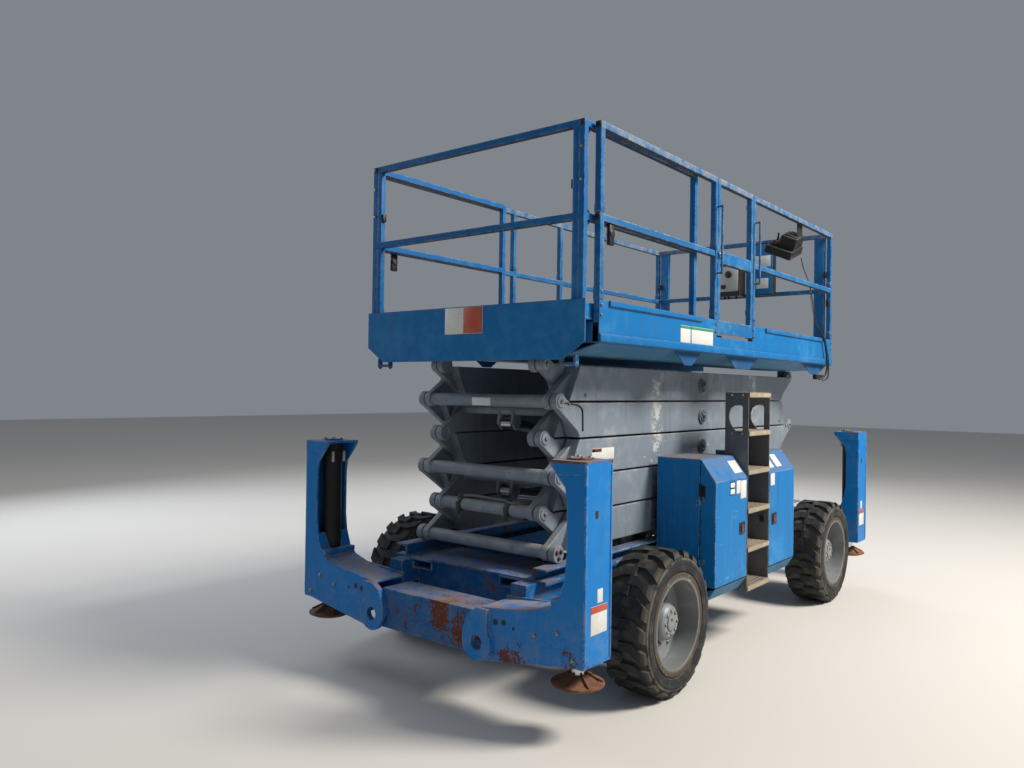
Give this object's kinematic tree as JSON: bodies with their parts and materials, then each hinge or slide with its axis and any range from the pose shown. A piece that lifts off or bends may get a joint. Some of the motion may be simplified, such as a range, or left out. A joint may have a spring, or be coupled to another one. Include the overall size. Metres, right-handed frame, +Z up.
{
  "type": "rough-terrain scissor lift",
  "caption": "Four-wheel scissor lift with a railed deck that slides out at one end, folding cross arms, side cabinets, a ladder and corner outriggers.",
  "frame": {"origin": "on the ground, midway between the axles on the mid-plane", "axes": "+X towards the end where the deck extension slides out, +Y to the ladder side, +Z up"},
  "size_m": [4.884, 2.296, 3.3],
  "materials": {
    "blue_paint": "weathered gloss",
    "grey_paint": "satin",
    "dark_grey_paint": "satin",
    "black_paint": "satin",
    "rim_silver": "satin",
    "tyre_black": "dusty",
    "bare_steel": "rusty",
    "chrome_rod": "polished",
    "black_plastic": "matte"
  },
  "bodies": {
    "chassis": {"chassis_frame": "blue_paint", "front_cross_beam": "blue_paint", "rear_cross_beam": "blue_paint", "outrigger_front_left": "blue_paint", "outrigger_front_right": "blue_paint", "outrigger_rear_left": "blue_paint", "outrigger_rear_right": "blue_paint", "leg_cylinders": "black_paint", "front_axle": "black_paint", "rear_axle": "black_paint", "cabinet_left_front": "blue_paint", "cabinet_left_rear": "blue_paint", "cabinet_right_front": "blue_paint", "cabinet_right_rear": "blue_paint", "ladder": "dark_grey_paint", "engine_block": "black_paint"},
    "platform": {"platform_deck": "blue_paint", "platform_rails": "blue_paint", "control_box": "black_plastic", "rail_boxes": "black_plastic"},
    "gate": {"platform_gate": "blue_paint"},
    "extension": {"extension_deck": "blue_paint", "extension_rails": "blue_paint"},
    "wheel_front_left": {"tyre_front_left": "tyre_black", "rim_front_left": "rim_silver"},
    "knuckle_front_left": {"front_left_knuckle": "black_paint"},
    "foot_front_left": {"foot_front_left": "bare_steel"},
    "wheel_front_right": {"tyre_front_right": "tyre_black", "rim_front_right": "rim_silver"},
    "knuckle_front_right": {"front_right_knuckle": "black_paint"},
    "foot_front_right": {"foot_front_right": "bare_steel"},
    "wheel_rear_left": {"tyre_rear_left": "tyre_black", "rim_rear_left": "rim_silver"},
    "foot_rear_left": {"foot_rear_left": "bare_steel"},
    "wheel_rear_right": {"tyre_rear_right": "tyre_black", "rim_rear_right": "rim_silver"},
    "foot_rear_right": {"foot_rear_right": "bare_steel"},
    "inner_1": {"inner_arms_1": "grey_paint"},
    "outer_1": {"outer_arms_1": "grey_paint"},
    "inner_2": {"inner_arms_2": "grey_paint"},
    "outer_2": {"outer_arms_2": "grey_paint"},
    "inner_3": {"inner_arms_3": "grey_paint"},
    "outer_3": {"outer_arms_3": "grey_paint"},
    "inner_4": {"inner_arms_4": "grey_paint"},
    "outer_4": {"outer_arms_4": "grey_paint"},
    "inner_5": {"inner_arms_5": "grey_paint"},
    "outer_5": {"outer_arms_5": "grey_paint"},
    "lower_cylinder": {"lower_lift_barrel": "black_paint"},
    "lower_rod": {"lower_lift_rod": "chrome_rod"},
    "upper_cylinder": {"upper_lift_barrel": "black_paint"},
    "upper_rod": {"upper_lift_rod": "chrome_rod"},
    "door_left_front": {"door_left_front": "blue_paint"},
    "door_left_rear": {"door_left_rear": "blue_paint"},
    "door_right_front": {"door_right_front": "blue_paint"},
    "door_right_rear": {"door_right_rear": "blue_paint"}
  },
  "joints": [
    {"name": "steer_front_left", "type": "hinge", "parent": "chassis", "child": "knuckle_front_left", "pos_m": [1.442, 0.87, 0.43], "axis": [0, 0, 1], "range_deg": [-35, 35]},
    {"name": "spin_front_left", "type": "hinge", "parent": "knuckle_front_left", "child": "wheel_front_left", "pos_m": [1.442, 0.99, 0.43], "axis": [0, 1, 0], "continuous": true},
    {"name": "leg_front_left", "type": "slide", "parent": "chassis", "child": "foot_front_left", "axis": [0, 0, -1], "range_m": [0, 0.4]},
    {"name": "steer_front_right", "type": "hinge", "parent": "chassis", "child": "knuckle_front_right", "pos_m": [1.442, -0.87, 0.43], "axis": [0, 0, 1], "range_deg": [-35, 35]},
    {"name": "spin_front_right", "type": "hinge", "parent": "knuckle_front_right", "child": "wheel_front_right", "pos_m": [1.442, -0.99, 0.43], "axis": [0, 1, 0], "continuous": true},
    {"name": "leg_front_right", "type": "slide", "parent": "chassis", "child": "foot_front_right", "axis": [0, 0, -1], "range_m": [0, 0.4]},
    {"name": "spin_rear_left", "type": "hinge", "parent": "chassis", "child": "wheel_rear_left", "pos_m": [-1.442, 0.99, 0.43], "axis": [0, 1, 0], "continuous": true},
    {"name": "leg_rear_left", "type": "slide", "parent": "chassis", "child": "foot_rear_left", "axis": [0, 0, -1], "range_m": [0, 0.4]},
    {"name": "spin_rear_right", "type": "hinge", "parent": "chassis", "child": "wheel_rear_right", "pos_m": [-1.442, -0.99, 0.43], "axis": [0, 1, 0], "continuous": true},
    {"name": "leg_rear_right", "type": "slide", "parent": "chassis", "child": "foot_rear_right", "axis": [0, 0, -1], "range_m": [0, 0.4]},
    {"name": "lift", "type": "hinge", "parent": "chassis", "child": "inner_1", "pos_m": [-1.87, 0, 0.826], "axis": [0, -1, 0], "range_deg": [0, 50]},
    {"name": "inner_joint_2", "type": "hinge", "parent": "inner_1", "child": "inner_2", "pos_m": [1.87, 0, 1.052], "axis": [0, -1, 0], "range_deg": [-100, 0]},
    {"name": "inner_joint_3", "type": "hinge", "parent": "inner_2", "child": "inner_3", "pos_m": [-1.87, 0, 1.278], "axis": [0, -1, 0], "range_deg": [0, 100]},
    {"name": "inner_joint_4", "type": "hinge", "parent": "inner_3", "child": "inner_4", "pos_m": [1.87, 0, 1.504], "axis": [0, -1, 0], "range_deg": [-100, 0]},
    {"name": "inner_joint_5", "type": "hinge", "parent": "inner_4", "child": "inner_5", "pos_m": [-1.87, 0, 1.73], "axis": [0, -1, 0], "range_deg": [0, 100]},
    {"name": "centre_joint_1", "type": "hinge", "parent": "inner_1", "child": "outer_1", "pos_m": [0, 0, 0.939], "axis": [0, -1, 0], "range_deg": [-100, 0]},
    {"name": "centre_joint_2", "type": "hinge", "parent": "inner_2", "child": "outer_2", "pos_m": [0, 0, 1.165], "axis": [0, -1, 0], "range_deg": [0, 100]},
    {"name": "centre_joint_3", "type": "hinge", "parent": "inner_3", "child": "outer_3", "pos_m": [0, 0, 1.391], "axis": [0, -1, 0], "range_deg": [-100, 0]},
    {"name": "centre_joint_4", "type": "hinge", "parent": "inner_4", "child": "outer_4", "pos_m": [0, 0, 1.617], "axis": [0, -1, 0], "range_deg": [0, 100]},
    {"name": "centre_joint_5", "type": "hinge", "parent": "inner_5", "child": "outer_5", "pos_m": [0, 0, 1.843], "axis": [0, -1, 0], "range_deg": [-100, 0]},
    {"name": "platform_joint", "type": "hinge", "parent": "outer_5", "child": "platform", "pos_m": [-1.87, 0, 1.956], "axis": [0, -1, 0], "range_deg": [0, 50]},
    {"name": "lower_cylinder_pivot", "type": "hinge", "parent": "inner_1", "child": "lower_cylinder", "pos_m": [0, 0, 0.879], "axis": [0, -1, 0], "range_deg": [0, 5]},
    {"name": "lower_cylinder_stroke", "type": "slide", "parent": "lower_cylinder", "child": "lower_rod", "axis": [0.9891, 0, 0.1475], "range_m": [0, 0.345]},
    {"name": "upper_cylinder_pivot", "type": "hinge", "parent": "inner_3", "child": "upper_cylinder", "pos_m": [0, 0, 1.331], "axis": [0, -1, 0], "range_deg": [0, 5]},
    {"name": "upper_cylinder_stroke", "type": "slide", "parent": "upper_cylinder", "child": "upper_rod", "axis": [0.9891, 0, 0.1475], "range_m": [0, 0.345]},
    {"name": "gate_hinge", "type": "hinge", "parent": "platform", "child": "gate", "pos_m": [-0.126, 0.872, 2.7], "axis": [0, 0, -1], "range_deg": [0, 90]},
    {"name": "extension_slide", "type": "slide", "parent": "platform", "child": "extension", "axis": [1, 0, 0], "range_m": [0, 1.51]},
    {"name": "door_left_front_hinge", "type": "hinge", "parent": "chassis", "child": "door_left_front", "pos_m": [0.794, 0.949, 0.93], "axis": [0, 0, -1], "range_deg": [0, 100]},
    {"name": "door_left_rear_hinge", "type": "hinge", "parent": "chassis", "child": "door_left_rear", "pos_m": [-0.664, 0.949, 0.93], "axis": [0, 0, 1], "range_deg": [0, 100]},
    {"name": "door_right_front_hinge", "type": "hinge", "parent": "chassis", "child": "door_right_front", "pos_m": [0.794, -0.949, 0.93], "axis": [0, 0, 1], "range_deg": [0, 100]},
    {"name": "door_right_rear_hinge", "type": "hinge", "parent": "chassis", "child": "door_right_rear", "pos_m": [-0.664, -0.949, 0.93], "axis": [0, 0, -1], "range_deg": [0, 100]}
  ],
  "couplings": [
    {"joint": "steer_front_right", "follows": "steer_front_left", "ratio": 1},
    {"joint": "inner_joint_2", "follows": "lift", "ratio": -2},
    {"joint": "inner_joint_3", "follows": "lift", "ratio": 2},
    {"joint": "inner_joint_4", "follows": "lift", "ratio": -2},
    {"joint": "inner_joint_5", "follows": "lift", "ratio": 2},
    {"joint": "centre_joint_1", "follows": "lift", "ratio": -2},
    {"joint": "centre_joint_2", "follows": "lift", "ratio": 2},
    {"joint": "centre_joint_3", "follows": "lift", "ratio": -2},
    {"joint": "centre_joint_4", "follows": "lift", "ratio": 2},
    {"joint": "centre_joint_5", "follows": "lift", "ratio": -2},
    {"joint": "platform_joint", "follows": "lift", "ratio": 1},
    {"joint": "lower_cylinder_pivot", "follows": "lift", "ratio": 0.08},
    {"joint": "lower_cylinder_stroke", "follows": "lift", "m_per_rad": 0.39},
    {"joint": "upper_cylinder_pivot", "follows": "lift", "ratio": 0.08},
    {"joint": "upper_cylinder_stroke", "follows": "lift", "m_per_rad": 0.39}
  ]
}
